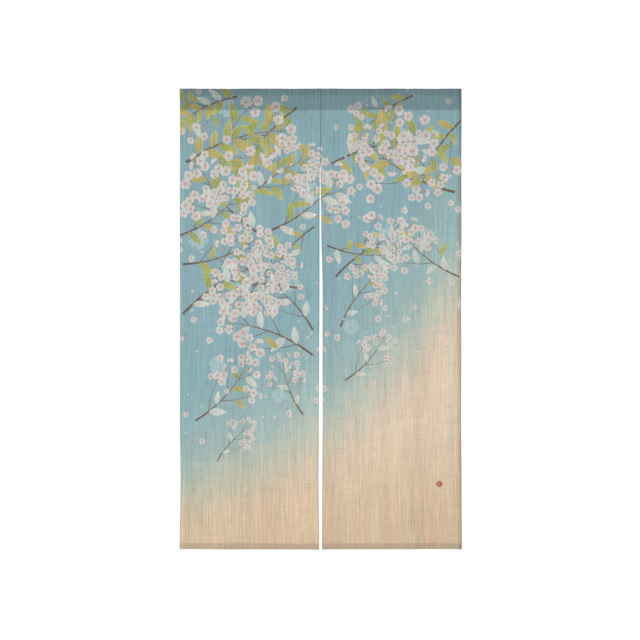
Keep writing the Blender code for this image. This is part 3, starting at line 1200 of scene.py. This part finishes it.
def printed(tree, place, ground, strength):
    """The ground with the print's colours laid over it, thinner on some threads."""
    paint = add_node(tree, "Attribute", [], attribute_name="print")
    uneven = streaks(tree, place, INK_MM, detail=FINE_DETAIL)
    taken = add_node(tree, "MapRange", [uneven, *INK_RANGE, INK_MISSES * strength, strength])
    cover = add_node(tree, "Math", [paint.node.outputs["Alpha"], taken], operation="MULTIPLY")
    return add_node(tree, "Mix", {FACTOR: cover, COLOUR_A: ground, COLOUR_B: paint},
                    out=COLOUR_OUT, data_type="RGBA")


print("a thread takes", INK_MISSES, "to 1 of the print's ink")

# %% [markdown]
# Hemp cloth is matt. Its fibre is cellulose with an IOR of about 1.5, the shader's own
# default, and so many small facets that its roughness is near 0.9, with little gloss and a
# trace of sheen. It is thin, so part of the light comes through from behind, and between
# the threads lie tiny openings. A real weave could be modelled thread by thread, but that
# is over a million crossings. Here the weave is a bump, the openings a faint transparency,
# and the light from behind a share of a translucent shader.

# %% Dyed slub hemp
OPEN_WEAVE_MM = Streak(2.3, 60, 0.30, 10)
OPEN_WEAVE_MEAN = 0.06
WARP_BUMP_MM = Streak(THREAD_SPACING_MM, 12, 1.0, 11)
WEFT_BUMP_MM = Streak(12, THREAD_SPACING_MM, 1.0, 12)
BUMP_STRENGTH = 0.6
BUMP_DEPTH = 0.35 * MM
HEMP_ROUGHNESS = 0.88
HEMP_GLOSS = 0.25
HEMP_SHEEN = 0.08
THROUGH = 0.20
SOAKED_THROUGH = 0.72


def hemp(name, print_strength):
    """Dyed and printed hemp. The print soaks through to the back only in part."""
    material, tree = new_material(name)
    place, across, run = cloth_place(tree)
    ground = tinted(tree, place, across, run, dyed(tree, place, across, run))
    colour = printed(tree, place, ground, print_strength)
    # The threads' own light and dark, times the painted shade of doubled and folded cloth.
    light = product(tree, [thread_light(tree, place), painted_shade(tree, across, run)])
    shaded = add_node(tree, "VectorMath", {0: colour, "Scale": light}, operation="SCALE")
    least = OPEN_WEAVE_MEAN - OPEN_WEAVE_MM.gain / 2
    gap = add_node(tree, "Math", [streaks(tree, place, OPEN_WEAVE_MM), OPEN_WEAVE_MM.gain, least],
                   operation="MULTIPLY_ADD", use_clamp=True)
    threads = add_node(tree, "Math", [streaks(tree, place, WARP_BUMP_MM),
                                      streaks(tree, place, WEFT_BUMP_MM)], operation="ADD")
    bumped = add_node(tree, "Bump", {"Strength": BUMP_STRENGTH, "Distance": BUMP_DEPTH,
                                     "Height": threads})
    front = add_node(tree, "BsdfPrincipled", {"Base Color": shaded, "Normal": bumped,
                                              "Roughness": HEMP_ROUGHNESS,
                                              "Specular IOR Level": HEMP_GLOSS,
                                              "Sheen Weight": HEMP_SHEEN})
    glow = add_node(tree, "BsdfTranslucent", {"Color": shaded, "Normal": bumped})
    body = add_node(tree, "MixShader", [THROUGH, front, glow])
    holes = add_node(tree, "BsdfTransparent", [])
    whole = add_node(tree, "MixShader", [gap, body, holes])
    add_node(tree, "OutputMaterial", {"Surface": whole})
    return material


HEMP_FACE = hemp("dyed slub hemp", 1.0)
HEMP_BACK = hemp("dyed slub hemp, back", SOAKED_THROUGH)
for cloth in CLOTHS.values():
    cloth.data.materials.append(HEMP_FACE)
    cloth.data.materials.append(HEMP_BACK)
    cloth.modifiers["thickness"].material_offset = 1
print("finishes:", HEMP_FACE.name, "and", HEMP_BACK.name)

# %% [markdown]
# The sleeve, the hem and the lapped seam are taken to be sewn by machine: a lockstitch shows
# as a row of short dashes on both faces. Each dash is a bit of thread that dips into the
# cloth at its ends. One loop makes them all, joined in one mesh for each piece, because
# hundreds of separate objects would be slow and are never moved one by one.

# %% Dashes of thread
THREAD_RADIUS = 0.28 * MM
STITCH = 3.2 * MM
STITCH_GAP = 1.2 * MM
SIDES = 6
DIPS = (-0.30 * MM, 0.08 * MM, 0.20 * MM, 0.20 * MM, 0.08 * MM, -0.30 * MM)
Dash = namedtuple("Dash", "start end out flat")


def add_dash(mesh_data, dash):
    """Adds one dash to lists of points, faces and map places."""
    points, faces, places = mesh_data
    along = (dash.end - dash.start).normalized()
    aside = along.cross(dash.out).normalized()
    first = len(points)
    for i, dip in enumerate(DIPS):
        middle = dash.start.lerp(dash.end, i / (len(DIPS) - 1)) + dash.out * dip
        for k in range(SIDES):
            turn = 2 * math.pi * k / SIDES
            round_it = dash.out * math.cos(turn) + aside * math.sin(turn)
            points.append(middle + round_it * THREAD_RADIUS)
            places.append(dash.flat)
    for i in range(len(DIPS) - 1):
        for k in range(SIDES):
            a = first + i * SIDES + k
            b = first + i * SIDES + (k + 1) % SIDES
            faces.append((a, b, b + SIDES, a + SIDES))
    faces.append([first + k for k in reversed(range(SIDES))])
    faces.append([first + (len(DIPS) - 1) * SIDES + k for k in range(SIDES)])


def line_of_dashes(side, from_place, to_place, out, lift=0.0):
    """Dashes along the strip from one place to another, on the face that out points from."""
    way = to_place - from_place
    count = int(way.length / (STITCH + STITCH_GAP))
    dashes = []
    for i in range(count):
        starts = from_place + way * (i / count)
        ends = starts + way.normalized() * STITCH
        near, far = (hang(side, spot.x, spot.y) + out * lift for spot in (starts, ends))
        dashes.append(Dash(near, far, out, (starts.x, -starts.y)))
    return dashes


def make_stitching(name, dashes):
    """One mesh of all the dashes of a piece."""
    mesh_data = ([], [], [])
    for dash in dashes:
        add_dash(mesh_data, dash)
    print(name, "dashes:", len(dashes))
    return add_object(name, make_mesh(name, *mesh_data))


print("stitches to 100 mm:", round(100 * MM / (STITCH + STITCH_GAP)))

# %% [markdown]
# One line of dashes closes the foot of the sleeve, one holds the turned hem, and each shows
# in front and behind. A third runs down the lapped seam and ends in a tack, a few short
# stitches across, because the head of the slit is where such a curtain tears first. The
# dashes are placed on the strip and hung by the same function as the cloth.

# %% The lines of sewing
FORWARD = Vector((0, -1, 0))
BACKWARD = Vector((0, 1, 0))
FROM_EDGE = 2.5 * MM
FROM_FOLD = 2 * MM
BELOW_SLEEVE = 4 * MM
HEM_STITCH_RUN = HEIGHT - HEM_DEPTH + FROM_FOLD
HEM_BACK_STITCH_RUN = HEM_BACK_RUN + HEM_TURN_RUN - HEM_STITCH_RUN
BACK_STITCH_RUN = FIRST_RUN + SLEEVE_TAIL
SIDE_LINES = ((SLEEVE_DEPTH, FORWARD), (BACK_STITCH_RUN, BACKWARD),
              (HEM_STITCH_RUN, FORWARD), (HEM_BACK_STITCH_RUN, BACKWARD))
TACK_ROWS = 4
TACK_STEP = 1.1 * MM
TACK_HALF = 3 * MM


def side_stitching(side):
    """The sleeve's and the hem's dashes of one width, on both faces, short of its edges."""
    inner, outer = edges_at(side, SLEEVE_DEPTH)
    short = FROM_EDGE if outer > inner else -FROM_EDGE
    dashes = []
    for run, out in SIDE_LINES:
        ends = (Vector((inner + short, run)), Vector((outer - short, run)))
        dashes += line_of_dashes(side, *ends, out)
    return dashes


def seam_stitching():
    """The seam's dashes on both faces, and the tack that guards the slit's head."""
    top = Vector((SEAM_MIDDLE, CREST_RUN + FRONT_SIDE.arc))
    bottom = Vector((SEAM_MIDDLE, SLIT_HEAD - FROM_FOLD))
    dashes = line_of_dashes("left", top, bottom, FORWARD)
    below_sleeve = Vector((SEAM_MIDDLE, SLEEVE_DEPTH + BELOW_SLEEVE))
    dashes += line_of_dashes("right", below_sleeve, bottom, BACKWARD, lift=CLOTH)
    for i in range(TACK_ROWS):
        run = SLIT_HEAD - i * TACK_STEP
        spots = [hang("left", SEAM_MIDDLE + part * TACK_HALF, run) for part in (-1, 1)]
        level = min(spot.y for spot in spots)
        start, end = (Vector((spot.x, level, spot.z)) for spot in spots)
        dashes.append(Dash(start, end, FORWARD, (SEAM_MIDDLE, -run)))
    return dashes


STITCHINGS = [make_stitching(f"stitching_{side}", side_stitching(side)) for side in CLOTHS]
STITCHINGS.append(make_stitching("stitching_seam", seam_stitching()))

# %% [markdown]
# The thread is spun cotton, drawn tight and dyed together with the cloth, so it takes the
# ground's own colour, only a little darker because it is dense. It is cellulose too, so its
# IOR stays at 1.5, and being tighter it is a little less matt than the hemp. Its twist is
# too fine to show at 3.2 mm to a pixel, so it is left to a fine bump.

# %% Dyed cotton thread
THREAD_SHADE = 0.88
THREAD_ROUGHNESS = 0.7
PLY = 0.5 * MM
OBJECT_OUT = 3
TWIST_STRENGTH = 0.5
TWIST_DEPTH = 0.1 * MM


def cotton_thread():
    """Cotton thread in the ground's colours, with a fine twist."""
    material, tree = new_material("dyed cotton thread")
    place, across, run = cloth_place(tree)
    shaded = add_node(tree, "VectorMath", {0: dyed(tree, place, across, run),
                                           "Scale": THREAD_SHADE}, operation="SCALE")
    where = add_node(tree, "TexCoord", [], out=OBJECT_OUT)
    twist = add_node(tree, "TexNoise", {"Vector": where, "Scale": 1 / PLY})
    bumped = add_node(tree, "Bump", {"Strength": TWIST_STRENGTH, "Distance": TWIST_DEPTH,
                                     "Height": twist})
    front = add_node(tree, "BsdfPrincipled", {"Base Color": shaded, "Normal": bumped,
                                              "Roughness": THREAD_ROUGHNESS})
    add_node(tree, "OutputMaterial", {"Surface": front})
    return material


THREAD = cotton_thread()
for stitching in STITCHINGS:
    stitching.data.materials.append(THREAD)
print("finish of the stitching:", THREAD.name)

# %% [markdown]
# The curtain hangs free with nothing under it, so the floor is only a pale matt disc below
# the picture's lower edge. A wider one would show behind the curtain, where the photograph
# is plain white.

# %% The pale floor
FLOOR_Z = -1.95
FLOOR_RADIUS = 1.2
FLOOR_SIDES = 96
FLOOR_COLOUR = "f6f5f3"
FLOOR_ROUGHNESS = 0.8


def make_floor():
    bpy.ops.mesh.primitive_circle_add(vertices=FLOOR_SIDES, radius=FLOOR_RADIUS,
                                      fill_type="NGON", location=(0, 0, FLOOR_Z))
    floor = bpy.context.object
    floor.name = "floor"
    material = bpy.data.materials.new("pale matt floor")
    material.use_nodes = True
    shader = material.node_tree.nodes["Principled BSDF"]
    shader.inputs["Base Color"].default_value = (*linear(FLOOR_COLOUR), 1.0)
    shader.inputs["Roughness"].default_value = FLOOR_ROUGHNESS
    floor.data.materials.append(material)
    print("floor, m below the rod:", -FLOOR_Z)


make_floor()

# %% [markdown]
# A product photograph of this kind is lit evenly from all round on white. A white world
# gives most of the light, and what the camera sees of it is pure white. One broad lamp at
# the upper left draws out the folds, and a weaker one lights the back. A sun or a spot would
# cast hard shadows that such a picture has not.

# %% White world and two lamps
SEEN_WHITE = 1.0
WORLD_LIGHT = 0.74
Lamp = namedtuple("Lamp", "name x y z size power")
LAMPS = (Lamp("key", -7.0, -5.6, 2.6, 2.8, 420), Lamp("back", 5.0, 6.0, 1.8, 2.8, 200))
AIM = Vector((0, 0, -0.7))


def make_world():
    world = bpy.data.worlds.new("white studio")
    world.use_nodes = True
    tree = world.node_tree
    seen = add_node(tree, "LightPath", [])
    strength = add_node(tree, "MapRange", [seen, 0.0, 1.0, WORLD_LIGHT, SEEN_WHITE])
    background = tree.nodes["Background"]
    background.inputs["Color"].default_value = (1.0, 1.0, 1.0, 1.0)
    tree.links.new(strength, background.inputs["Strength"])
    bpy.context.scene.world = world
    bpy.context.scene.view_settings.view_transform = "Standard"


def make_lamp(row):
    data = bpy.data.lights.new(row.name, "AREA")
    data.shape = "DISK"
    data.size = row.size
    data.energy = row.power
    lamp = add_object(row.name, data)
    lamp.location = (row.x, row.y, row.z)
    lamp.rotation_euler = (AIM - lamp.location).to_track_quat("-Z", "Y").to_euler()


make_world()
for lamp_row in LAMPS:
    make_lamp(lamp_row)
print("lamps:", ", ".join(row.name for row in LAMPS))

# %% [markdown]
# Last, each piece is tied to the imported model's root body, which it moves with, and the
# solids that each width of cloth stands for are hidden.

# %% Tie the pieces to the model
for side, cloth in CLOTHS.items():
    inner, outer = edges_at(side, SLEEVE_DEPTH)
    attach(cloth, "root")
    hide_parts(f"panel_{side}", f"sleeve_{side}")

for stitching in STITCHINGS:
    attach(stitching, "root")
print("tied:", ", ".join(piece.name for piece in (*CLOTHS.values(), *STITCHINGS)))
